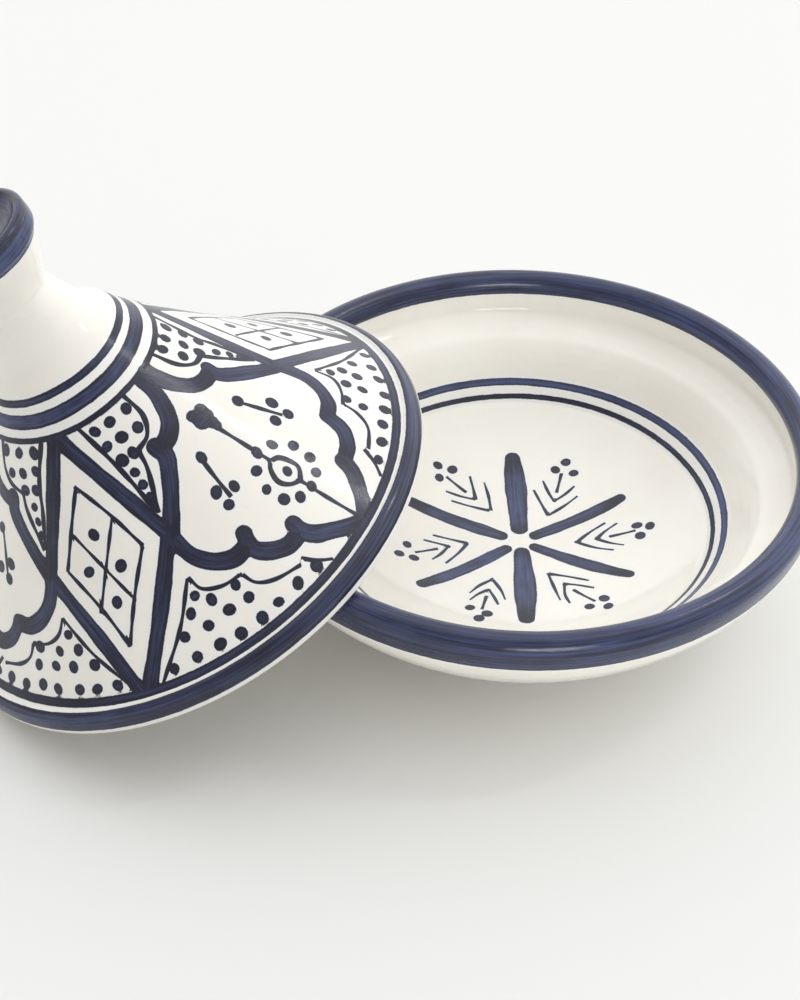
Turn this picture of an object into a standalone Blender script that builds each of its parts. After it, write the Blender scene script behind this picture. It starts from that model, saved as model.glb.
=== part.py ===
"""A glazed earthenware tagine pot: a round dish, and its tall cone lid leaning against it.

Metres, +Z up. The origin is the middle of the dish's flat foot. Each body is an outline of
(radius, height) points turned round its own axis. An outline starts and ends on the axis and
keeps the clay on its left, so that the turned faces point out.
"""

import math

import bmesh
import bpy

# Dish
DISH_RADIUS = 0.125
DISH_HEIGHT = 0.0722
FOOT_RADIUS = 0.066
FOOT_HEIGHT = 0.007
RIM_HALF_WIDTH = 0.0055
RIM_HALF_HEIGHT = 0.0065
GALLERY_RADIUS = 0.1143
GALLERY_DEPTH = 0.019
LEDGE_WIDTH = 0.0128
LEDGE_FALL = 0.0052
FLOOR_RADIUS = 0.082
FLOOR_EDGE_HEIGHT = 0.0266
FLOOR_THICKNESS = 0.012
FLOOR_POWER = 3.4

# Lid, in heights above the underside of its rim
LID_RADIUS = 0.1096
LIP_HEIGHT = 0.0026
LIP_WIDTH = 0.005
LIP_ROUND = 0.0012
BEAD_HEIGHT = 0.007
BEAD_WIDTH = 0.0038
BEAD_STEP = 0.002
WALL = 0.006
COLLAR_RADIUS = 0.0371
COLLAR_HEIGHT = 0.0897
NECK_RADIUS = 0.0153
NECK_HEIGHT = 0.1303
SEAT_RADIUS = 0.0063
SEAT_DEPTH = 0.0043

# Knob, in heights above the lid's neck
KNOB_RADIUS = 0.0246
CUP_EDGE_RADIUS = 0.0226
CUP_EDGE_HEIGHT = 0.0185
CUP_SIDE_HEIGHT = 0.022
KNOB_HEIGHT = 0.0303
CUP_LIP = 0.0042
CUP_DEPTH = 0.0045

# The lid leans away from the dish, on the dish's rim, with its own rim on the table
LEAN = math.radians(25.4)
LEAN_BEARING = math.radians(192.6)
LID_BEARING = math.radians(191.2)
LID_DISTANCE = 0.143
GAP = 0.0003

SEGMENTS = 60
KNOB_SEGMENTS = 40

CREAM = (0.87, 0.83, 0.74)
COBALT = (0.055, 0.068, 0.15)


def arc(centre, half_sizes, start, end, steps):
    """Points along an ellipse, from start to end degrees, where 0 is outwards and 90 is up."""
    angles = [math.radians(start + (end - start) * i / steps) for i in range(steps + 1)]
    return [
        (centre[0] + half_sizes[0] * math.cos(a), centre[1] + half_sizes[1] * math.sin(a))
        for a in angles
    ]


def smooth(knots, steps):
    """A Catmull-Rom curve through the knots, with this many steps from each to the next."""
    ends = [tuple(2 * a - b for a, b in zip(knots[0], knots[1]))]
    ends += [*knots, tuple(2 * a - b for a, b in zip(knots[-1], knots[-2]))]
    points = []
    for before, here, there, after in zip(ends, ends[1:], ends[2:], ends[3:]):
        for i in range(steps):
            t = i / steps
            points.append(
                tuple(
                    b + 0.5 * t * (c - a + t * (2 * a - 5 * b + 4 * c - d + t * (3 * (b - c) + d - a)))
                    for a, b, c, d in zip(before, here, there, after)
                )
            )
    return [*points, knots[-1]]


def inset(points, distance):
    """The points moved square to their curve, to its left."""
    moved = []
    for before, here, after in zip([points[0], *points], points, [*points[1:], points[-1]]):
        along = (after[0] - before[0], after[1] - before[1])
        length = math.hypot(*along)
        moved.append((here[0] - along[1] / length * distance, here[1] + along[0] / length * distance))
    return moved


def dish_outline():
    """The foot, up the outside, over the rolled rim, down the gallery and the wall to the floor."""
    foot = [(0, 0), (FOOT_RADIUS - 0.0015, 0), (FOOT_RADIUS, 0.0015), (FOOT_RADIUS + 0.0005, FOOT_HEIGHT)]
    outside = smooth(
        [(0.072, 0.0094), (0.09, 0.0193), (0.107, 0.0335), (0.1185, 0.0475), (DISH_RADIUS - 0.0012, 0.0575)], 2
    )
    rim_centre = (DISH_RADIUS - RIM_HALF_WIDTH, DISH_HEIGHT - RIM_HALF_HEIGHT)
    rim = arc(rim_centre, (RIM_HALF_WIDTH, RIM_HALF_HEIGHT), -8, 200, 9)
    gallery_height = DISH_HEIGHT - GALLERY_DEPTH
    gallery = [(GALLERY_RADIUS + 0.0004, 0.0595), (GALLERY_RADIUS, gallery_height + 0.0012)]
    gallery += [(GALLERY_RADIUS - 0.0012, gallery_height)]
    ledge_edge = (GALLERY_RADIUS - LEDGE_WIDTH, gallery_height - LEDGE_FALL)
    wall = smooth(
        [(ledge_edge[0] + 0.004, ledge_edge[1] + 0.0009), ledge_edge, (0.0955, 0.041), (0.0885, 0.0322)], 2
    )
    rise = FLOOR_EDGE_HEIGHT - FLOOR_THICKNESS
    floor = [
        (FLOOR_RADIUS * share, FLOOR_THICKNESS + rise * share**FLOOR_POWER)
        for share in (1, 0.92, 0.84, 0.74, 0.62, 0.45, 0.25, 0)
    ]
    return foot + outside + rim + gallery + wall + floor


def lid_outline():
    """The hollow from its crown to the lip, then the bead, the cone, the collar and the neck's seat."""
    cone = smooth(
        [
            (LID_RADIUS - 0.0088, 0.0117),
            (0.0773, 0.0376),
            (0.0567, 0.0626),
            (COLLAR_RADIUS, COLLAR_HEIGHT),
            (0.0288, 0.1036),
            (0.0222, 0.111),
            (0.0166, 0.1246),
            (NECK_RADIUS, NECK_HEIGHT),
        ],
        2,
    )
    hollow = [(0, 0.1145), (0.0085, 0.1125), (0.0145, 0.1065)] + inset(cone[:8], WALL)[::-1]
    inner_lip = LID_RADIUS - LIP_ROUND - LIP_WIDTH
    lip = [(inner_lip, LIP_ROUND), (inner_lip + LIP_ROUND, 0), (LID_RADIUS - LIP_ROUND, 0)]
    lip += [(LID_RADIUS, LIP_ROUND), (LID_RADIUS, LIP_HEIGHT)]
    bead_centre = (LID_RADIUS - BEAD_WIDTH, LIP_HEIGHT)
    bead = arc(bead_centre, (BEAD_WIDTH, BEAD_HEIGHT), 18, 90, 4)
    groove = [(LID_RADIUS - BEAD_WIDTH - BEAD_STEP, LIP_HEIGHT + BEAD_HEIGHT - 0.0003)]
    seat_floor = NECK_HEIGHT - SEAT_DEPTH
    seat = [(SEAT_RADIUS, NECK_HEIGHT), (SEAT_RADIUS, seat_floor), (0, seat_floor)]
    return hollow + lip + bead + groove + cone + seat


def knob_outline():
    """The spigot under the knob, the flared neck, the rounded side and the shallow cup on top."""
    spigot = SEAT_RADIUS - GAP
    base = [(0, GAP - SEAT_DEPTH), (spigot, GAP - SEAT_DEPTH), (spigot, GAP), (NECK_RADIUS, GAP)]
    side = smooth(
        [
            (NECK_RADIUS + 0.0036, 0.009),
            (CUP_EDGE_RADIUS, CUP_EDGE_HEIGHT),
            (KNOB_RADIUS, CUP_SIDE_HEIGHT),
            (KNOB_RADIUS, KNOB_HEIGHT - 0.0028),
        ],
        2,
    )
    lip = arc((KNOB_RADIUS - 0.0022, KNOB_HEIGHT - 0.0022), (0.0022, 0.0022), 20, 130, 3)
    cup_floor = KNOB_HEIGHT - CUP_DEPTH
    cup = [(KNOB_RADIUS - CUP_LIP - 0.002, cup_floor + 0.0009), (0.01, cup_floor), (0, cup_floor - 0.0002)]
    return base + side + lip + cup


def clay(name, colour):
    """Glossy glazed clay."""
    material = bpy.data.materials.new(name)
    material.use_nodes = True
    shader = material.node_tree.nodes["Principled BSDF"]
    shader.inputs["Base Color"].default_value = (*colour, 1)
    shader.inputs["Roughness"].default_value = 0.18
    shader.inputs["Metallic"].default_value = 0
    return material


def turn(name, outline, segments):
    """A closed body, turned from its outline round its own Z axis."""
    shape = bmesh.new()
    points = [shape.verts.new((radius, 0, height)) for radius, height in outline]
    edges = [shape.edges.new(pair) for pair in zip(points, points[1:])]
    bmesh.ops.spin(
        shape,
        geom=points + edges,
        cent=(0, 0, 0),
        axis=(0, 0, 1),
        angle=math.tau,
        steps=segments,
        use_merge=True,
    )
    bmesh.ops.remove_doubles(shape, verts=shape.verts, dist=1e-6)
    bmesh.ops.recalc_face_normals(shape, faces=shape.faces)
    mesh = bpy.data.meshes.new(name)
    shape.to_mesh(mesh)
    shape.free()
    mesh.shade_smooth()
    mesh.set_sharp_from_angle(angle=math.radians(50))
    body = bpy.data.objects.new(name, mesh)
    bpy.context.scene.collection.objects.link(body)
    return body


def glaze(body, bands):
    """Cream glaze all over, and cobalt on the faces whose (radius, height) lies in a band."""
    body.data.materials.append(clay(f"{body.name}_cream", CREAM))
    body.data.materials.append(clay(f"{body.name}_cobalt", COBALT))
    for face in body.data.polygons:
        radius = math.hypot(face.center.x, face.center.y)
        for (radius_low, radius_high), (height_low, height_high) in bands:
            if radius_low < radius < radius_high and height_low < face.center.z < height_high:
                face.material_index = 1


def lid_frame():
    """An empty on the lid's axis, under its rim. It leans, and it stands so that the rim meets the table."""
    frame = bpy.data.objects.new("lid_frame", None)
    bpy.context.scene.collection.objects.link(frame)
    height = (LID_RADIUS - LIP_ROUND) * math.sin(LEAN)
    frame.location = (LID_DISTANCE * math.cos(LID_BEARING), LID_DISTANCE * math.sin(LID_BEARING), height)
    frame.rotation_euler = (0, LEAN, LEAN_BEARING)
    return frame


def build():
    for old in list(bpy.data.objects):
        bpy.data.objects.remove(old)

    dish = turn("dish", dish_outline(), SEGMENTS)
    glaze(dish, [((GALLERY_RADIUS, 1), (0.057, 1))])

    frame = lid_frame()
    cone = turn("lid_cone", lid_outline(), SEGMENTS)
    glaze(cone, [((LID_RADIUS - 0.006, 1), (LIP_HEIGHT, 1))])
    cone.parent = frame

    knob = turn("lid_knob", knob_outline(), KNOB_SEGMENTS)
    glaze(knob, [((0, 1), (CUP_EDGE_HEIGHT, 1))])
    knob.parent = frame
    knob.location = (0, 0, NECK_HEIGHT)


build()
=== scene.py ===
"""The looks of the tagine pot: fine turned clay, hand-painted cobalt and a glossy cream glaze.

The dish, the lid's cone and the lid's knob are each built again as one fine turned mesh round the
axis of its CAD node. The painting is worked out per vertex, as distances to brush strokes, and the
glaze material turns those distances into crisp, slightly uneven cobalt marks.

Lengths are in millimetres until a mesh is placed. Heights on the dish are above its foot, and on the
lid above the underside of its rim.
"""

import math
from collections import namedtuple

import bpy
import numpy as np
from mathutils import Matrix, Vector


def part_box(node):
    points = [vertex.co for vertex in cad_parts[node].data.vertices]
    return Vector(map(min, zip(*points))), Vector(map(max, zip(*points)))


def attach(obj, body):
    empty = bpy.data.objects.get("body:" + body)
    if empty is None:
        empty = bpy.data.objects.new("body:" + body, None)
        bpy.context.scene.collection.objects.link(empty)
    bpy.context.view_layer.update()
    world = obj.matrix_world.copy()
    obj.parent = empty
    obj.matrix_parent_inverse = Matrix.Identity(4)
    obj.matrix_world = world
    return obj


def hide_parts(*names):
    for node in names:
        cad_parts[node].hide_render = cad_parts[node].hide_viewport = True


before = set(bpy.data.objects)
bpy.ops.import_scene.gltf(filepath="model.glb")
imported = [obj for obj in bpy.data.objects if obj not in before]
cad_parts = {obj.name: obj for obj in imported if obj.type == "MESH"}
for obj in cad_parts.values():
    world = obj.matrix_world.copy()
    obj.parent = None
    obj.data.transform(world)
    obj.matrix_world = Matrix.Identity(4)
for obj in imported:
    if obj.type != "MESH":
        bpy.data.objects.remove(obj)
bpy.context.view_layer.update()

MM = 0.001

# How many steps a curve takes from each knot to the next
CURVE_STEPS = 12

# Dish
DISH_RADIUS = 125.0
DISH_HEIGHT = 72.2
RIM_HALF_WIDTH = 5.5
RIM_HALF_HEIGHT = 6.5
GALLERY_RADIUS = 114.3
FLOOR_RADIUS = 82.0
FLOOR_EDGE_HEIGHT = 26.6
FLOOR_THICKNESS = 12.0
FLOOR_POWER = 3.4
# The painted part of the floor, which has close rings so that its marks come out crisp
STAR_ROOM = 61.0
DISH_SEGMENTS = 480
FOOT_EDGE = [(64.5, 0), (66, 1.5), (66.5, 7)]
BELLY = [(72, 9.4), (90, 19.3), (107, 33.5), (118.5, 47.5), (DISH_RADIUS - 1.2, 57.5)]
GALLERY = [(GALLERY_RADIUS + 0.4, 60), (GALLERY_RADIUS, 55), (GALLERY_RADIUS - 1.6, 53.2)]
LEDGE = [(109.5, 51.1), (104.5, 49), (100.6, 46.9), (95.5, 41), (90.5, 34.6)]
RINGED_WALL = [(90, 34), (81, 25.8)]

# Lid
LID_RADIUS = 109.6
LIP_HEIGHT = 2.6
LIP_WIDTH = 5.0
LIP_ROUND = 1.2
BEAD_HEIGHT = 7.0
BEAD_WIDTH = 3.8
WALL = 6.0
FRIEZE_FOOT = (100.8, 11.7)
FRIEZE_TOP = (37.1, 89.7)
FRIEZE_LENGTH = 100.8
SHOULDER = (28.8, 103.6)
NECK_RADIUS = 15.3
NECK_HEIGHT = 130.3
SEAT_RADIUS = 6.3
SEAT_DEPTH = 4.3
LID_SEGMENTS = 540
GROOVE = [(105, 9.35), (103.8, 9.3), (102.4, 10.4), FRIEZE_FOOT]
CONE = [FRIEZE_FOOT, (77.3, 37.6), (56.7, 62.6), FRIEZE_TOP, SHOULDER]
CROWN = [(0, 114.5), (3, 114.2), (8.5, 112.5), (14.5, 106.5)]

# The waist between the neck and the knob: heights are from their seam
WAIST = [(16.6, -5.7), (NECK_RADIUS, 0), (18.9, 9)]

# Knob: heights are from the seam
KNOB_RADIUS = 24.6
KNOB_HEIGHT = 30.3
KNOB_LIP_ROUND = 2.2
KNOB_SEGMENTS = 240
CUP_EDGE = (22.6, 18.5)
CUP_SIDE = [(KNOB_RADIUS, 22), (KNOB_RADIUS, 27.5)]
CUP_HOLLOW = [(20, 28.7), (16, 27.3), (8, 26.2), (0, 25.8)]
SPIGOT_GAP = 0.3
SEAM = 0.02

# Edges sharper than this many degrees stay crisp
SHARP_ANGLE = 55

# Painting: half widths of the fat brush and of the brush's tip, and a dot's radius
BRUSH = 3.2
HAIR = 0.8
DOT = 2.45
# Further than any mark reaches
FAR = 30.0
# Slow wavers of a stroke's width, a line's width, and a band's place and load: size and rate
STROKE_WAVES = [(0.06, 0.17), (0.02, 0.5)]
LINE_WAVES = [(0.18, 0.45)]
BAND_WAVES = [(0.16, 2), (0.12, 5)]
LOAD_WAVES = [(0.1, 1)]
# Shifts each mark's streaks, so that no two marks share them
STREAK_SHIFT = 7.3

rng = np.random.default_rng(7)


# Outlines


def arc(centre, half_sizes, start, end, steps):
    """Points along an ellipse, from start to end degrees, where 0 is outwards and 90 is up."""
    angles = np.radians(np.linspace(start, end, steps + 1))
    return [
        (centre[0] + half_sizes[0] * math.cos(a), centre[1] + half_sizes[1] * math.sin(a))
        for a in angles
    ]


def smooth(knots, steps=CURVE_STEPS):
    """A Catmull-Rom curve through the knots, with this many steps from each to the next."""
    knots = np.array(knots, float)
    ends = np.vstack([2 * knots[0] - knots[1], knots, 2 * knots[-1] - knots[-2]])
    share = (np.arange(steps) / steps)[:, None]
    parts = [
        b + 0.5 * share * (c - a + share * (2 * a - 5 * b + 4 * c - d + share * (3 * (b - c) + d - a)))
        for a, b, c, d in zip(ends, ends[1:], ends[2:], ends[3:])
    ]
    return [tuple(p) for p in np.vstack([*parts, knots[-1:]])]


def inset(points, distance):
    """The points moved square to their curve, to its left, by one distance or by one each."""
    points = np.array(points)
    along = np.gradient(points, axis=0)
    along /= np.hypot(*along.T)[:, None]
    left = np.stack([-along[:, 1], along[:, 0]], 1)
    return [tuple(p) for p in points + np.reshape(distance, (-1, 1)) * left]


def spaced(points, step):
    """The same line with its points no further apart than step, corners kept."""
    line = [points[0]]
    for here, there in zip(points, points[1:]):
        count = max(1, math.ceil(math.dist(here, there) / step))
        line += [
            tuple(a + (b - a) * i / count for a, b in zip(here, there)) for i in range(1, count + 1)
        ]
    return line


def thinned(points, step):
    """The same line with points about a step apart, for a smooth stretch."""
    points = np.array(points)
    run = np.concatenate([[0], np.cumsum(np.hypot(*np.diff(points, axis=0).T))])
    marks = np.linspace(0, run[-1], max(2, round(run[-1] / step) + 1))
    return list(zip(np.interp(marks, run, points[:, 0]), np.interp(marks, run, points[:, 1])))


def thrown(points, depth):
    """The points pushed in and out a little, as a potter's fingers leave them. The ends stay put."""
    share = np.linspace(0, 1, len(points))
    wave = np.sin(share * 17) + 0.5 * np.sin(share * 31 + 1)
    return inset(points, depth * wave * np.sin(share * math.pi))


def dish_outline():
    """From the middle of the foot, up the outside, over the rim and down to the middle of the floor."""
    foot = spaced([(0, 0), (62, 0)], 12) + spaced(FOOT_EDGE, 1.5)
    rim_centre = (DISH_RADIUS - RIM_HALF_WIDTH, DISH_HEIGHT - RIM_HALF_HEIGHT)
    rim = arc(rim_centre, (RIM_HALF_WIDTH, RIM_HALF_HEIGHT), -8, 200, 34)
    inside = thinned(smooth(GALLERY), 1.2) + thrown(thinned(smooth(LEDGE), 1), 0.05)
    inside += thinned(RINGED_WALL, 0.5)
    radii = [*np.arange(FLOOR_RADIUS - 2, STAR_ROOM + 1, -2.2), *np.arange(STAR_ROOM, 4, -0.9), 3, 1.5, 0]
    rise = FLOOR_EDGE_HEIGHT - FLOOR_THICKNESS
    floor = [(r, FLOOR_THICKNESS + rise * (r / FLOOR_RADIUS) ** FLOOR_POWER) for r in radii]
    return foot + thinned(smooth(BELLY), 3.5) + rim + inside + floor


def lid_outline():
    """From the crown of the hollow down to the lip, over the bead, up the cone and the neck to its seat."""
    cone = smooth(CONE)
    hollow = CROWN + thrown(thinned(inset(cone, WALL)[::-1], 4), 0.3)
    lip = arc((LID_RADIUS - LIP_WIDTH, LIP_ROUND), (LIP_ROUND, LIP_ROUND), 180, 270, 3)
    lip += arc((LID_RADIUS - LIP_ROUND, LIP_ROUND), (LIP_ROUND, LIP_ROUND), 270, 360, 4)
    bead = arc((LID_RADIUS - BEAD_WIDTH, LIP_HEIGHT), (BEAD_WIDTH, BEAD_HEIGHT), 0, 90, 12)
    groove = thinned(smooth(GROOVE)[:-1], 0.7)
    waist = [(radius, NECK_HEIGHT + height) for radius, height in WAIST]
    neck = thinned(smooth([SHOULDER, (22.2, 111), *waist])[:-CURVE_STEPS], 2)[1:]
    seat_floor = NECK_HEIGHT - SEAT_DEPTH
    seat = [(NECK_RADIUS - 1, NECK_HEIGHT), (SEAT_RADIUS, NECK_HEIGHT), (SEAT_RADIUS, seat_floor)]
    return hollow + lip + bead + groove + thinned(cone, 1.15) + neck + seat + [(0, seat_floor)]


def knob_outline():
    """From the foot of the spigot, out and up the flare, over the cup's lip to its middle."""
    spigot, spigot_foot = SEAT_RADIUS - SPIGOT_GAP, SPIGOT_GAP - SEAT_DEPTH
    base = [(0, spigot_foot), (spigot, spigot_foot), (spigot, SEAM), (NECK_RADIUS - 1, SEAM)]
    side = smooth([*WAIST, CUP_EDGE, *CUP_SIDE])[CURVE_STEPS:]
    side[0] = (NECK_RADIUS, SEAM)
    lip_centre = (KNOB_RADIUS - KNOB_LIP_ROUND, KNOB_HEIGHT - KNOB_LIP_ROUND)
    lip = arc(lip_centre, (KNOB_LIP_ROUND, KNOB_LIP_ROUND), 20, 130, 8)
    return base + thinned(side, 0.8) + lip + thinned(smooth(CUP_HOLLOW), 1.2)


# Painting


def path_length(path):
    return np.hypot(*np.diff(path, axis=0).T).sum()


def measure(points, path):
    """Where each point lies by the path.

    Gives its distance from the path, its offset to the left, how far along it lies, and how far past
    one of the path's ends.
    """
    starts, steps = path[:-1], np.diff(path, axis=0)
    lengths = np.hypot(*steps.T)
    before = np.concatenate([[0], np.cumsum(lengths)[:-1]])
    gap = points[:, None] - starts
    reached = (gap * steps).sum(-1) / lengths**2
    share = np.clip(reached, 0, 1)
    miss = gap - share[..., None] * steps
    distance = np.hypot(miss[..., 0], miss[..., 1])
    nearest = distance.argmin(1)
    row = np.arange(len(points))
    step, reach = steps[nearest], gap[row, nearest]
    left = (step[:, 0] * reach[:, 1] - step[:, 1] * reach[:, 0]) / lengths[nearest]
    along = before[nearest] + share[row, nearest] * lengths[nearest]
    late = (reached[row, nearest] - 1) * lengths[nearest]
    early = -reached[row, nearest] * lengths[nearest]
    past = np.where(nearest == len(lengths) - 1, late, np.where(nearest == 0, early, -FAR))
    return distance[row, nearest], left, along, past


def waver(along, waves):
    """A slow random waver along a mark: the sum of sine waves, each with its size and rate."""
    return sum(size * np.sin(along * rate + rng.uniform(0, 6)) for size, rate in waves)


class Painting:
    """Marks on a turned surface, kept for each vertex as distances to the nearest mark."""

    def __init__(self, count):
        self.fat = np.full(count, FAR)
        self.hair = np.full(count, FAR)
        self.hair_near = np.full(count, FAR)
        self.hair_gap = np.full(count, FAR)
        self.hair_half = np.full(count, HAIR)
        self.brush = np.zeros((count, 3))
        self.ink = np.full(count, 0.6)
        self.marks = 0
        self.where = np.arange(count)
        self.points = np.zeros((count, 2))

    def aim(self, where, points):
        """The next marks go on these vertices, which lie at these points of a flat sheet."""
        self.where, self.points = where, points

    def near(self, path, reach):
        """The vertices that a mark along the path can reach, and their points on the sheet."""
        low, high = path.min(0) - reach, path.max(0) + reach
        inside = ((self.points > low) & (self.points < high)).all(1)
        return self.where[inside], self.points[inside]

    def cover(self, where, edge, brush, ink):
        """Lays a fat mark over the others wherever its edge, below 0 inside it, is the nearest."""
        closer = edge < self.fat[where]
        chosen = where[closer]
        self.marks += 1
        self.fat[chosen] = edge[closer]
        shift = np.full(closer.sum(), STREAK_SHIFT * self.marks)
        self.brush[chosen] = np.column_stack([brush[closer], shift])
        self.ink[chosen] = ink[closer]

    def stroke(self, path, half=BRUSH, taper=0.0, load=0.6, ends=0.25):
        """A loaded brush drawn along the path. It swells and thins a little, and pools at its ends."""
        path = np.array(path, float)
        where, points = self.near(path, half + 6)
        distance, left, along, _ = measure(points, path)
        length = path_length(path)
        swell = 1 + waver(along, STROKE_WAVES)
        width = half * swell * (1 - taper * (2 * along / length - 1) ** 2)
        pool = np.clip(1.4 - (length - along) / 8, 0, 1) + 0.5 * np.clip(1 - along / 5, 0, 1)
        ink = load + rng.uniform(-0.1, 0.1) + ends * pool
        self.cover(where, distance - width, np.column_stack([along, left]), ink)

    def dot(self, centre, radius=DOT, load=0.85):
        """One touch of the brush: a slightly stretched round."""
        centre = np.array(centre, float) + rng.normal(0, 0.25, 2)
        where, points = self.near(centre[None], radius + 5)
        offset = points - centre
        stretch = rng.uniform(0.9, 1.12)
        turn = rng.uniform(0, math.pi)
        across = offset @ (math.cos(turn), math.sin(turn)) * stretch
        down = offset @ (-math.sin(turn), math.cos(turn)) / stretch
        edge = np.hypot(across, down) - radius * rng.uniform(0.9, 1.1)
        self.cover(where, edge, offset, np.full(len(where), load + rng.uniform(-0.1, 0.1)))

    def line(self, path, half=HAIR, taper=0.0):
        """A thin line from the tip of the brush. It thins towards its end by the taper."""
        path = np.array(path, float)
        where, points = self.near(path, 6)
        distance, left, along, past = measure(points, path)
        closer = distance < self.hair_near[where]
        chosen, along = where[closer], along[closer]
        self.hair_near[chosen] = distance[closer]
        self.hair_gap[chosen] = np.maximum(distance, past + 0.9)[closer]
        self.hair[chosen] = left[closer]
        swell = 1 + waver(along, LINE_WAVES)
        self.hair_half[chosen] = half * swell * (1 - taper * (along / path_length(path)) ** 2)

    def band(self, where, run, around, low, high, load=0.6):
        """A band painted while the pot turns, from low to high along the outline's run."""
        across = run - (low + high) / 2 - waver(around, BAND_WAVES)
        edge = np.abs(across) - (high - low) / 2
        reach = edge < 5
        ink = load + waver(around, LOAD_WAVES)
        brush = np.column_stack([around * 60, across])
        self.cover(where[reach], edge[reach], brush[reach], ink[reach])


# The lid's frieze


class Sheet:
    """The lid's cone rolled out flat round one azimuth, so that marks keep their shape."""

    SLOPE = (FRIEZE_FOOT[0] - FRIEZE_TOP[0]) / FRIEZE_LENGTH
    HALF_SPREAD = math.radians(75)

    def __init__(self, painting, where, run, around, centre):
        turned = (around - math.radians(centre) + math.pi) % math.tau - math.pi
        close = np.abs(turned) < self.HALF_SPREAD
        self.painting = painting
        painting.aim(where[close], self.flat(turned[close], run[close]))

    def flat(self, turned, run):
        reach, angle = FRIEZE_FOOT[0] / self.SLOPE - run, turned * self.SLOPE
        return np.column_stack([reach * np.sin(angle), reach * np.cos(angle)])

    def place(self, marks, scale, shake=0.3):
        """Points at (share of scale degrees, run) on the flat sheet, as an unsteady hand puts them."""
        marks = np.array(marks, float).reshape(-1, 2)
        points = self.flat(np.radians(marks[:, 0] * scale), marks[:, 1])
        return points + rng.normal(0, shake, points.shape)

    def curve(self, knots, scale, shake=0.3):
        return smooth(self.place(knots, scale, shake), 8)

    def pull(self, start, end, scale):
        """A stroke pulled straight from start to end, bowed a little by the turn of the wrist."""
        first, last = self.place([start, end], scale)
        along = last - first
        bow = np.array([-along[1], along[0]]) * rng.normal(0, 0.012)
        return smooth([first, (first + last) / 2 + bow, last], 8)

    def line(self, knots, scale=1, half=HAIR):
        self.painting.line(self.curve(knots, scale), half=half)

    def dot(self, mark, scale=1, radius=DOT):
        self.painting.dot(self.place([mark], scale)[0], radius=radius)


def mirrored(marks):
    return [(-across, up) for across, up in marks]


# Marks on a sheet are (across, run up the cone). Across is a share of a half width, or degrees
LOZENGE_SIDES = [((0.07, 97.8), (1.0, 47.5)), ((1.0, 48.5), (0.03, -2))]
SMALL_LOZENGE_SIDES = [((0, 79.5), (0.62, 49)), ((0.62, 49.5), (0, 17))]
LOZENGE_BARS = [[(-0.34, 61.5), (0.26, 33)], [(0.38, 62), (-0.24, 32)]]
LOZENGE_DOTS = [(0.03, 60), (-0.26, 47.5), (0.28, 46), (0.02, 34)]

MEDALLION_SIDE = [
    [(0.075, 97.5), (0.1, 92), (0.16, 86.5), (0.27, 80.5), (0.42, 77), (0.57, 76)],
    [(0.6, 77), (0.585, 72), (0.68, 66), (0.79, 60), (0.9, 53.5), (1.0, 47.5)],
    [(1.0, 48), (0.985, 42), (0.94, 36), (0.85, 30.5), (0.73, 27), (0.61, 27)],
]
# The two lowest lobes. On the side painted first they start with a hook
LOBES = [
    [(0.565, 31.5), (0.59, 27), (0.57, 23), (0.51, 19), (0.42, 16.3), (0.33, 16)],
    [(0.286, 20), (0.29, 16), (0.25, 11.5), (0.175, 7), (0.09, 2.5), (0.01, -1)],
]
LOBE_ENDS = [(0.57, 31), (0.29, 19.5)]
# The blobs of the spade over the eye, with their radii
SPADE = [
    (-2.1, 73.6, 2.9),
    (2, 73.2, 2.8),
    (-1.4, 70.6, 3.3),
    (1.5, 70.2, 3.2),
    (0, 67.6, 2.9),
    (0.4, 64.4, 2.1),
]
# Straight down the medallion: knots and half widths
STEMS = [([(0, 66), (0, 53), (0, 41)], 0.95), ([(0, 27), (0, 14), (0, 0)], 0.85)]
EYE_MIDDLE = 34
EYE_SIDE = [(0, 41), (2.5, 38.8), (3.7, 34.2), (2.6, 29.8), (0, 27.4)]
# The dots round the eye: angles on each side, the ring's middle, half width and half height
EYE_DOT_ANGLES = (48, 8, -28, -60)
EYE_RING = (34.5, 8.2, 12)
EYE_DOT_RADIUS = 2.3
AXIS_DOTS = [(-0.4, 46.6), (-0.4, 22.4)]
SPRIG_STEM = [(13.6, 62.8), (15.4, 53), (17, 44.5)]
SPRIG_DOTS = [(13.6, 62.8), (19.2, 49.5), (13.8, 46), (18.2, 42.6)]

# Thin lines beside a corner: -1 on the lozenge's side or 1 on the medallion's, and their knots
UPPER_LINES = [
    (-1, [(0.45, 99), (0.16, 84), (0.06, 73), (-0.02, 58)]),
    (1, [(0.58, 99), (0.56, 89), (0.43, 82.5), (0.23, 80)]),
    (1, [(0.23, 80), (0.17, 72), (0.02, 58)]),
]
LOWER_LINES = [
    (-1, [(0.12, 31), (0.47, 16), (0.86, 0)]),
    (1, [(-0.06, 31), (-0.01, 25), (0.1, 21.5), (0.24, 20.5)]),
    (1, [(0.24, 20.5), (0.28, 14.5), (0.38, 10), (0.54, 8)]),
    (1, [(0.57, 9.5), (0.63, 4.5), (0.7, 0)]),
]
# Rows of dots beside a corner: run, first and last azimuth towards the medallion, count
CORNER_DOTS = [
    (3.4, -15, 23, 8),
    (12.2, -10, 7.5, 4),
    (18.9, -6, 6.6, 3),
    (24.6, -3.2, -3.2, 1),
    (95.3, -3.5, 17, 3),
    (87.8, -2, 15, 3),
    (80.8, 0, 7, 2),
    (74.6, 2.4, 2.4, 1),
    (69, 2, 2, 1),
    (63.6, 1.4, 1.4, 1),
]
# Rings round the collar: run above the frieze, low and high, and how loaded the brush was
COLLAR_RINGS = [(-2.3, 0.1, 0.75), (3.6, 9.4, 0.6), (12.3, 15.4, 0.7)]
# The azimuths of each lozenge's start, middle and end; the medallions fill the spaces between
LOZENGES = [(57, 77.6, 101.5), (178.6, 202, 226), (298, 320, 341)]


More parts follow.
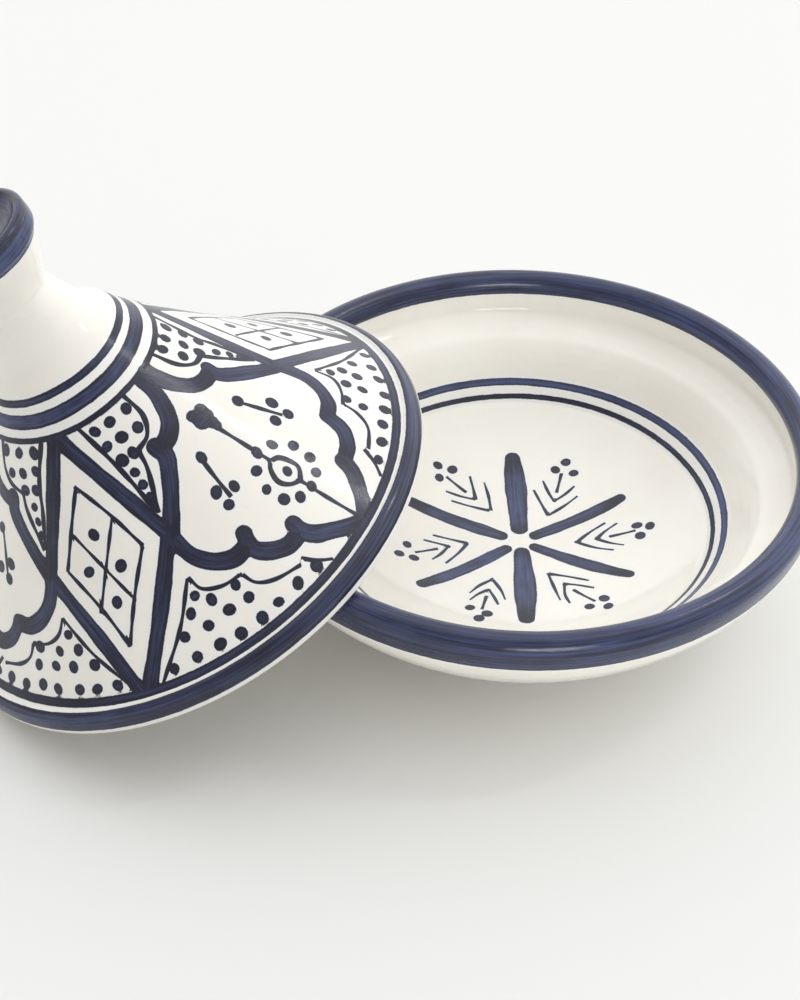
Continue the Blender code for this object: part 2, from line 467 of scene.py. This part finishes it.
def paint_lozenge(sheet, before, after):
    """The fat lozenge, the thin one in it, its bars and its dots. Before and after are its half widths."""
    for half in (-before, after):
        for side in LOZENGE_SIDES:
            sheet.painting.stroke(sheet.pull(*side, half), load=0.8, ends=0.1)
        for side in SMALL_LOZENGE_SIDES:
            sheet.painting.line(sheet.pull(*side, half))
    half = (before + after) / 2
    for bar in LOZENGE_BARS:
        sheet.painting.line(sheet.place(bar, half), half=0.7)
    for mark in LOZENGE_DOTS:
        sheet.dot(mark, half)


def paint_medallion(sheet, half):
    """The lobed outline of a medallion, this half width, and what is in it."""
    strokes = MEDALLION_SIDE + [mirrored(knots) for knots in MEDALLION_SIDE + LOBES]
    for knots in strokes + [knots[1:] for knots in LOBES]:
        sheet.painting.stroke(sheet.curve(knots, half, 0.15), half=BRUSH + 0.25, load=0.7)
    for mark in mirrored(LOBE_ENDS):
        sheet.dot(mark, half, radius=3.2)
    for *mark, radius in SPADE:
        sheet.dot(mark, radius=radius)
    for knots, thickness in STEMS:
        sheet.line(knots, half=thickness)
    paint_eye(sheet)
    for flip in (1, -1):
        sheet.line([(flip * across, up) for across, up in SPRIG_STEM], half=0.9)
        for across, up in SPRIG_DOTS:
            sheet.dot((flip * across, up))


def paint_eye(sheet):
    """The eye in the middle of a medallion, and the dots round it and above and below it."""
    for side in (EYE_SIDE, mirrored(EYE_SIDE)):
        sheet.line(side, half=1.1)
    sheet.dot((0, EYE_MIDDLE), radius=2.2)
    ring_middle, half_width, half_height = EYE_RING
    for angle in np.radians(EYE_DOT_ANGLES):
        for side in (half_width, -half_width):
            mark = side * math.cos(angle), ring_middle + half_height * math.sin(angle)
            sheet.dot(mark, radius=EYE_DOT_RADIUS)
    for mark in AXIS_DOTS:
        sheet.dot(mark, radius=EYE_DOT_RADIUS)


def paint_corner(sheet, towards_medallion, lozenge_half, medallion_half):
    """The dotted spaces above and below the corner where a lozenge meets a medallion."""
    for lines, thickness in ((UPPER_LINES, 1.0), (LOWER_LINES, 0.8)):
        for side, knots in lines:
            half = medallion_half if side > 0 else lozenge_half
            sheet.line(knots, half * side * towards_medallion, half=thickness)
    for run, first, last, count in CORNER_DOTS:
        for across in np.linspace(first, last, count):
            sheet.dot((across * towards_medallion, run), radius=2.4 if count > 1 else 2.0)


def paint_frieze(painting, where, run, around):
    """The lozenges, the medallions between them, and the dotted corners where they meet."""
    for i, (start, middle, end) in enumerate(LOZENGES):
        half = (end - start) / 2
        before = (start - LOZENGES[i - 1][2]) % 360 / 2
        after = (LOZENGES[(i + 1) % len(LOZENGES)][0] - end) % 360 / 2
        paint_corner(Sheet(painting, where, run, around, start), -1, half, before)
        paint_corner(Sheet(painting, where, run, around, end), 1, half, after)
        paint_medallion(Sheet(painting, where, run, around, end + after), after)
        paint_lozenge(Sheet(painting, where, run, around, middle), middle - start, end - middle)


# The dish's star

# Each fat stroke: its angle near the middle and at its tip, and its half width
STAR = [
    (88, 93.2, 4.8),
    (26, 30.5, 3.3),
    (-30, -26, 3.3),
    (-80, -86.6, 4.7),
    (-134, -141.5, 3.3),
    (160, 157, 3.6),
]
# How far each fat stroke's start, middle and tip are from the dish's middle
STAR_REACH = (8, 31, 52.5)
# Each sprig: the angle and the reach of its outer chevron's tip, the way it points and its size
SPRIGS = [
    (52, 22, 76, 1.0),
    (0, 25.3, 12, 0.98),
    (-58.5, 24.7, -46, 1.0),
    (-113.4, 27.5, -103, 0.82),
    (-172.5, 22.3, -160, 0.92),
    (123.5, 23.4, 134, 1.03),
]
# Chevrons: distance of the tip along the sprig, and length of the wings
CHEVRONS = [(0, 17.5), (9, 13.3)]
CHEVRON_SPREAD = 33
SPRIG_STEM_ENDS = (16, 27)
# The three dots: distances from the middle of the head, which keep their size on a small sprig
SPRIG_HEAD_REACH = 30
SPRIG_HEAD = [(-1.6, 4), (-1.8, -4.4), (4, 0.4)]


def around_middle(reach, degrees):
    return reach * np.array([math.cos(math.radians(degrees)), math.sin(math.radians(degrees))])


def paint_star(painting, where, position):
    """Six fat strokes from the middle, and between them six sprigs of chevrons, a stem and three dots."""
    painting.aim(where, position)
    for near, far, half in STAR:
        middle = (near + 3 * far) / 4
        knots = [around_middle(*knot) for knot in zip(STAR_REACH, (near, middle, far))]
        painting.stroke(smooth(knots), half=half, taper=0.22, load=0.56, ends=0.5)
    for angle, reach, lean, size in SPRIGS:
        paint_sprig(painting, around_middle(reach, angle), lean, size)


def paint_sprig(painting, tip, lean, size):
    """Two nested chevrons, the outer one's tip here, then a stem and three dots."""
    forward, left = around_middle(size, lean), around_middle(size, lean + 90)

    def at(reach, across):
        return tip + reach * forward + across * left + rng.normal(0, 0.3, 2)

    for start, length in CHEVRONS:
        for side in (1, -1):
            wing = math.radians(CHEVRON_SPREAD + rng.uniform(-3, 3))
            along, across = length * math.cos(wing), side * length * math.sin(wing)
            bend = at(start + 0.5 * along, 0.56 * across)
            painting.line(smooth([at(start, 0), bend, at(start + along, across)], 6), half=0.78, taper=0.35)
    painting.line([at(SPRIG_STEM_ENDS[0], 0), at(SPRIG_STEM_ENDS[1], 0.6)], half=0.75)
    for along, across in SPRIG_HEAD:
        painting.dot(at(SPRIG_HEAD_REACH + along / size, across / size), radius=2.35, load=0.8)


# Meshes

# For each vertex: its radius, its height, how far along the outline it is, and its azimuth
Surface = namedtuple("Surface", "radius height run around")


def turned_faces(rings, segments):
    """Faces between this many rings of vertices, and to a first and a last vertex on the axis."""
    here = np.arange(segments)
    there = (here + 1) % segments
    first, last = rings * segments, rings * segments + 1
    faces = [(first, there[j], here[j]) for j in here]
    for low in range(0, (rings - 1) * segments, segments):
        high = low + segments
        faces += list(zip(low + here, low + there, high + there, high + here))
    top = (rings - 1) * segments
    faces += [(last, top + here[j], top + there[j]) for j in here]
    return [tuple(map(int, face)) for face in faces]


def turned(name, outline, segments, place):
    """A closed mesh turned from its outline, and its surface."""
    outline = np.array(outline, float)
    rings, ends = outline[1:-1], outline[[0, -1]]
    run = np.concatenate([[0], np.cumsum(np.hypot(*np.diff(outline, axis=0).T))])
    azimuths = np.arange(segments) * math.tau / segments
    surface = Surface(
        radius=np.concatenate([np.repeat(rings[:, 0], segments), [0, 0]]),
        height=np.concatenate([np.repeat(rings[:, 1], segments), ends[:, 1]]),
        run=np.concatenate([np.repeat(run[1:-1], segments), run[[0, -1]]]),
        around=np.concatenate([np.tile(azimuths, len(rings)), [0, 0]]),
    )
    across, deep = np.cos(surface.around), np.sin(surface.around)
    points = np.column_stack([surface.radius * across, surface.radius * deep, surface.height]) * MM
    world = points @ np.array(place.to_3x3()).T + np.array(place.translation)
    mesh = bpy.data.meshes.new(name)
    mesh.from_pydata(world.tolist(), [], turned_faces(len(rings), segments))
    mesh.validate()
    mesh.shade_smooth()
    mesh.set_sharp_from_angle(angle=math.radians(SHARP_ANGLE))
    body = bpy.data.objects.new(name, mesh)
    bpy.context.scene.collection.objects.link(body)
    return body, surface


def keep(body, painting, bare):
    """Writes the painting to the mesh, for its material to read."""
    layers = {
        "fat": painting.fat,
        "hair": painting.hair,
        "hair_gap": painting.hair_gap,
        "hair_half": painting.hair_half,
        "ink": painting.ink,
        "bare": bare,
    }
    for name, values in layers.items():
        layer = body.data.attributes.new(name, "FLOAT", "POINT")
        layer.data.foreach_set("value", values.astype(np.float32))
    layer = body.data.attributes.new("brush", "FLOAT_VECTOR", "POINT")
    layer.data.foreach_set("vector", painting.brush.astype(np.float32).ravel())


# Material

THIN_COBALT = (0.062, 0.085, 0.205, 1)
THICK_COBALT = (0.007, 0.008, 0.026, 1)
DEEP_CREAM = (0.892, 0.862, 0.796, 1)
PALE_CREAM = (0.925, 0.906, 0.842, 1)
SPECK = (0.62, 0.55, 0.44, 1)
HALO = (0.83, 0.86, 0.89, 1)
HALO_WIDTH = 2.6
DARK_CLAY = (0.46, 0.25, 0.15, 1)
PALE_CLAY = (0.62, 0.40, 0.27, 1)
CLAY_ROUGHNESS = 0.85
GLAZE_IOR = 1.5


class Nodes:
    """Short calls that add nodes to a material or a world. Inputs are values or other nodes' outputs."""

    def __init__(self, owner):
        owner.use_nodes = True
        self.tree = owner.node_tree
        self.shader = self.tree.nodes.get("Principled BSDF") or self.tree.nodes["Background"]

    def link(self, socket, value):
        if isinstance(value, bpy.types.NodeSocket):
            self.tree.links.new(value, socket)
        else:
            socket.default_value = value

    def layer(self, name, output="Fac"):
        node = self.tree.nodes.new("ShaderNodeAttribute")
        node.attribute_name = name
        return node.outputs[output]

    def math(self, operation, *values):
        node = self.tree.nodes.new("ShaderNodeMath")
        node.operation = operation
        for socket, value in zip(node.inputs, values):
            self.link(socket, value)
        return node.outputs[0]

    def ramp(self, value, low, high, start=0.0, end=1.0):
        node = self.tree.nodes.new("ShaderNodeMapRange")
        node.interpolation_type = "SMOOTHSTEP"
        names = ("Value", "From Min", "From Max", "To Min", "To Max")
        for name, given in zip(names, (value, low, high, start, end)):
            self.link(node.inputs[name], given)
        return node.outputs[0]

    def scaled(self, vector, scale):
        node = self.tree.nodes.new("ShaderNodeVectorMath")
        node.operation = "MULTIPLY"
        self.link(node.inputs[0], vector)
        node.inputs[1].default_value = scale
        return node.outputs[0]

    def noise(self, vector, scale, detail=2.0, roughness=0.5):
        node = self.tree.nodes.new("ShaderNodeTexNoise")
        self.link(node.inputs["Vector"], vector)
        node.inputs["Scale"].default_value = scale
        node.inputs["Detail"].default_value = detail
        node.inputs["Roughness"].default_value = roughness
        return node.outputs["Fac"]

    def mix(self, share, first, second):
        node = self.tree.nodes.new("ShaderNodeMix")
        node.data_type = "RGBA"
        self.link(node.inputs["Factor"], share)
        self.link(node.inputs["A"], first)
        self.link(node.inputs["B"], second)
        return node.outputs["Result"]

    def bump(self, height, distance, strength, normal=None):
        node = self.tree.nodes.new("ShaderNodeBump")
        self.link(node.inputs["Height"], height)
        node.inputs["Distance"].default_value = distance
        node.inputs["Strength"].default_value = strength
        if normal:
            self.link(node.inputs["Normal"], normal)
        return node.outputs[0]


def paint_masks(nodes, bleed, feather):
    """The edge of the fat marks, below 0 inside them, and how much paint the fat and thin marks lay."""
    wander = nodes.math("MULTIPLY_ADD", feather, 0.25, -0.375)
    wander = nodes.math("MULTIPLY_ADD", bleed, 0.5, wander)
    fat_edge = nodes.math("ADD", nodes.layer("fat"), wander)
    fat = nodes.ramp(fat_edge, -0.16, 0.14, 1, 0)
    hair = nodes.math("ABSOLUTE", nodes.layer("hair"))
    hair_edge = nodes.math("SUBTRACT", hair, nodes.layer("hair_half"))
    hair_edge = nodes.math("MULTIPLY_ADD", wander, 0.35, hair_edge)
    within = nodes.ramp(nodes.layer("hair_gap"), 1.1, 1.3, 1, 0)
    return fat_edge, fat, nodes.math("MULTIPLY", nodes.ramp(hair_edge, -0.14, 0.12, 1, 0), within)


def cobalt_colour(nodes, brush, fat_edge, hair):
    """Cobalt that is streaky along the brush, and thicker where it pools at a mark's edge."""
    streaks = nodes.noise(nodes.scaled(brush, (0.035, 1.1, 1)), 1, 4, 0.6)
    wash = nodes.noise(nodes.scaled(brush, (0.12, 0.25, 1)), 1, 2)
    ink = nodes.math("MULTIPLY_ADD", streaks, 1.5, nodes.math("ADD", nodes.layer("ink"), -0.75))
    ink = nodes.math("MULTIPLY_ADD", wash, 0.5, nodes.math("ADD", ink, -0.25))
    ink = nodes.math("ADD", ink, nodes.ramp(fat_edge, -1.5, -0.2, 0, 0.3))
    ink = nodes.math("MAXIMUM", ink, nodes.math("MULTIPLY", hair, 0.7))
    return nodes.mix(nodes.ramp(ink, 0, 1), THIN_COBALT, THICK_COBALT)


def cream_colour(nodes, place, fat_edge):
    """Clouded cream with fine specks, and a faint blue halo where cobalt has run beside a mark."""
    cloud = nodes.ramp(nodes.noise(place, 22, 3), 0.35, 0.65)
    grain = nodes.ramp(nodes.noise(place, 420, 3), 0.62, 0.8, 0, 0.12)
    cream = nodes.mix(grain, nodes.mix(cloud, DEEP_CREAM, PALE_CREAM), SPECK)
    hair_edge = nodes.math("SUBTRACT", nodes.layer("hair_gap"), HAIR)
    beside = nodes.math("MINIMUM", fat_edge, hair_edge)
    return nodes.mix(nodes.ramp(beside, 0, HALO_WIDTH, 0.6, 0), cream, HALO)


def glaze_relief(nodes, place, brush, paint, bare):
    """Fine waves in the glaze, the drag of the brush in the paint, and grit on the bare clay."""
    waves = nodes.bump(nodes.noise(place, 180, 2), 0.0006, 0.12)
    dragged = nodes.noise(nodes.scaled(brush, (0.5, 2.2, 1)), 1, 3, 0.7)
    drag = nodes.math("MULTIPLY", paint, nodes.math("SUBTRACT", dragged, 1.5))
    ridges = nodes.bump(drag, 0.00008, 0.5, waves)
    return nodes.bump(nodes.math("MULTIPLY", bare, nodes.noise(place, 1500, 3)), 0.0004, 0.8, ridges)


def painted_glaze(name):
    """Cream tin glaze with cobalt painting in it, and bare clay under the foot."""
    material = bpy.data.materials.new(name)
    nodes = Nodes(material)
    place = nodes.tree.nodes.new("ShaderNodeTexCoord").outputs["Object"]
    brush = nodes.layer("brush", "Vector")
    bleed = nodes.noise(place, 260, 3, 0.55)
    fat_edge, fat, hair = paint_masks(nodes, bleed, nodes.noise(place, 1300, 2))
    paint = nodes.math("MAXIMUM", fat, hair)
    bare = nodes.ramp(nodes.math("MULTIPLY_ADD", bleed, 0.5, nodes.layer("bare")), 0.7, 0.8)

    cobalt = cobalt_colour(nodes, brush, fat_edge, hair)
    glazed = nodes.mix(paint, cream_colour(nodes, place, fat_edge), cobalt)
    clay = nodes.mix(nodes.noise(place, 700, 4), DARK_CLAY, PALE_CLAY)
    nodes.link(nodes.shader.inputs["Base Color"], nodes.mix(bare, glazed, clay))

    gloss = nodes.ramp(nodes.noise(place, 60, 3), 0.3, 0.7, 0.07, 0.14)
    gloss = nodes.math("MULTIPLY_ADD", paint, 0.09, gloss)
    rough = nodes.math("MAXIMUM", gloss, nodes.math("MULTIPLY", bare, CLAY_ROUGHNESS))
    nodes.link(nodes.shader.inputs["Roughness"], rough)
    nodes.link(nodes.shader.inputs["IOR"], GLAZE_IOR)
    nodes.link(nodes.shader.inputs["Normal"], glaze_relief(nodes, place, brush, paint, bare))
    return material


# Pieces

# Painted rings: the two points of the outline they lie between, and how loaded the brush was
DISH_BANDS = [
    ((123.6, 56.6), (115.2, 63.9), 0.62),
    ((89.3, 32.9), (86.8, 30.5), 0.36),
    ((83.9, 28.4), (82.0, 26.7), 0.75),
]
LID_BANDS = [
    ((LID_RADIUS, LIP_HEIGHT), (105.6, 9.6), 0.6),
    ((103.7, 9.4), FRIEZE_FOOT, 0.7),
]


def lid_place():
    """The lid's axis runs through the middles of its CAD nodes. X points to the low side of its rim."""
    cone, knob = (
        np.unique(np.round([tuple(v.co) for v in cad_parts[node].data.vertices], 7), axis=0)
        for node in ("lid_cone", "lid_knob")
    )
    axis = Vector(knob.mean(0) - cone.mean(0)).normalized()
    low_side = (axis.z * axis - Vector((0, 0, 1))).normalized()
    foot = Vector(cone.mean(0)) + axis * float(((cone - cone.mean(0)) @ np.array(axis)).min())
    turn = Matrix((low_side, axis.cross(low_side), axis)).transposed()
    return Matrix.Translation(foot) @ turn.to_4x4()


def dish_place():
    low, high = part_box("dish")
    return Matrix.Translation(((low.x + high.x) / 2, (low.y + high.y) / 2, low.z))


def run_at(surface, target):
    """How far along the outline the point nearest the target lies."""
    return surface.run[np.hypot(surface.radius - target[0], surface.height - target[1]).argmin()]


def paint_bands(painting, where, surface, bands):
    for low, high, load in bands:
        ends = run_at(surface, low), run_at(surface, high)
        painting.band(where, surface.run[where], surface.around[where], *ends, load=load)


def make_dish():
    body, surface = turned("dish_glazed", dish_outline(), DISH_SEGMENTS, dish_place())
    painting = Painting(len(surface.run))
    every = np.arange(len(surface.run))
    paint_bands(painting, every, surface, DISH_BANDS)
    floor = every[(surface.radius < STAR_ROOM + 3) & (surface.height > 5)]
    spread = np.column_stack([np.cos(surface.around), np.sin(surface.around)])
    paint_star(painting, floor, (spread * surface.radius[:, None])[floor])
    keep(body, painting, bare=surface.height < 1.2)
    return body


def make_lid_cone():
    body, surface = turned("lid_cone_glazed", lid_outline(), LID_SEGMENTS, lid_place())
    painting = Painting(len(surface.run))
    outside = np.flatnonzero(surface.run > run_at(surface, (LID_RADIUS - 2 * LIP_ROUND, 0)))
    paint_bands(painting, outside, surface, LID_BANDS)
    run, around = surface.run[outside], surface.around[outside]
    collar = run_at(surface, FRIEZE_TOP)
    for low, high, load in COLLAR_RINGS:
        painting.band(outside, run, around, collar + low, collar + high, load=load)
    up = run - run_at(surface, FRIEZE_FOOT)
    frieze = (up > -1) & (up < FRIEZE_LENGTH + 3.2)
    paint_frieze(painting, outside[frieze], up[frieze], around[frieze])
    keep(body, painting, bare=np.zeros(len(surface.run)))
    return body


def make_lid_knob():
    place = lid_place() @ Matrix.Translation((0, 0, NECK_HEIGHT * MM))
    body, surface = turned("lid_knob_glazed", knob_outline(), KNOB_SEGMENTS, place)
    painting = Painting(len(surface.run))
    every = np.arange(len(surface.run))
    edge, lip = run_at(surface, CUP_EDGE), run_at(surface, CUP_SIDE[-1])
    past_middle = surface.run.max() + 9
    painting.band(every, surface.run, surface.around, edge, lip, load=0.45)
    painting.band(every, surface.run, surface.around, lip, past_middle, load=0.6)
    keep(body, painting, bare=np.zeros(len(surface.run)))
    return body


def make_object():
    glaze = painted_glaze("painted_glaze")
    for make, node, body, slot in (
        (make_dish, "dish", "dish", "cream_glaze"),
        (make_lid_cone, "lid_cone", "lid", "cream_glaze"),
        (make_lid_knob, "lid_knob", "lid", "cobalt_glaze"),
    ):
        piece = make()
        piece.data.materials.append(glaze)
        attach(piece, body)
        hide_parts(node)


# Stage

FLOOR_HALF_WIDTH = 60
FLOOR_COLOUR = (0.808, 0.815, 0.806, 1)
FLOOR_ROUGHNESS = 0.7

# The side the room is brightest on, and the sky's strength from its dull side to its bright side
BRIGHT_SIDE = (0.35, 0.8, 0.5)
WARM = (1, 0.975, 0.94, 1)
WHITE = (1, 1, 1, 1)
DULL_STRENGTH = 0.56
ADDED_STRENGTH = 0.9

CAMERA_PLACE = (-0.0223, -0.6328, 0.5791)
CAMERA_DOWN = 41.99
CAMERA_ROLL = 1.62


def make_floor():
    mesh = bpy.data.meshes.new("floor")
    corners = [(-1, -1, 0), (1, -1, 0), (1, 1, 0), (-1, 1, 0)]
    mesh.from_pydata([Vector(corner) * FLOOR_HALF_WIDTH for corner in corners], [], [(0, 1, 2, 3)])
    floor = bpy.data.objects.new("floor", mesh)
    bpy.context.scene.collection.objects.link(floor)
    material = bpy.data.materials.new("floor_paper")
    nodes = Nodes(material)
    nodes.link(nodes.shader.inputs["Base Color"], FLOOR_COLOUR)
    nodes.link(nodes.shader.inputs["Roughness"], FLOOR_ROUGHNESS)
    mesh.materials.append(material)


def add_light(name, place, target, size, power):
    light = bpy.data.lights.new(name, "AREA")
    light.shape = "RECTANGLE"
    light.size, light.size_y = size
    light.energy = power
    body = bpy.data.objects.new(name, light)
    body.location = place
    body.rotation_euler = (Vector(target) - Vector(place)).to_track_quat("-Z", "Y").to_euler()
    bpy.context.scene.collection.objects.link(body)
    return body


def light_room():
    """A pale room, brightest behind the pot and to its right."""
    world = bpy.data.worlds.new("studio")
    nodes = Nodes(world)
    towards = nodes.tree.nodes.new("ShaderNodeVectorMath")
    towards.operation = "DOT_PRODUCT"
    nodes.link(towards.inputs[0], nodes.tree.nodes.new("ShaderNodeTexCoord").outputs["Generated"])
    towards.inputs[1].default_value = Vector(BRIGHT_SIDE).normalized()
    bright = nodes.ramp(towards.outputs["Value"], -0.3, 0.7)
    strength = nodes.math("MULTIPLY_ADD", bright, ADDED_STRENGTH, DULL_STRENGTH)
    nodes.link(nodes.shader.inputs["Color"], nodes.mix(bright, WARM, WHITE))
    nodes.link(nodes.shader.inputs["Strength"], strength)
    bpy.context.scene.world = world
    bpy.context.scene.view_settings.view_transform = "Standard"


def add_glints(dish):
    """A narrow window for the glints on the lid, and a low lamp for the glint on the dish's near rim."""
    add_light("window", (1.0718, 0.24745, 1.66), (-0.1, -0.05, 0.1), (0.05, 0.5), 2.2)
    lamp = add_light("lamp", (0.35, -1.95, 0.33), (0, 0, 0.05), (0.8, 0.26), 8.5)
    lit = bpy.data.collections.new("lit_by_lamp")
    lit.objects.link(dish)
    lamp.light_linking.receiver_collection = lit


def add_camera():
    """Looking down at the pot from the front, a little from the left."""
    camera = bpy.data.cameras.new("camera")
    camera.lens = 69.8
    camera.sensor_width = 36
    camera.shift_x = -0.0677
    camera.shift_y = 0.0433
    body = bpy.data.objects.new("camera", camera)
    body.matrix_world = (
        Matrix.Translation(CAMERA_PLACE)
        @ Matrix.Rotation(math.radians(90 - CAMERA_DOWN), 4, "X")
        @ Matrix.Rotation(math.radians(CAMERA_ROLL), 4, "Z")
    )
    bpy.context.scene.collection.objects.link(body)
    bpy.context.scene.camera = body


make_object()
make_floor()
light_room()
add_glints(bpy.data.objects["dish_glazed"])
add_camera()
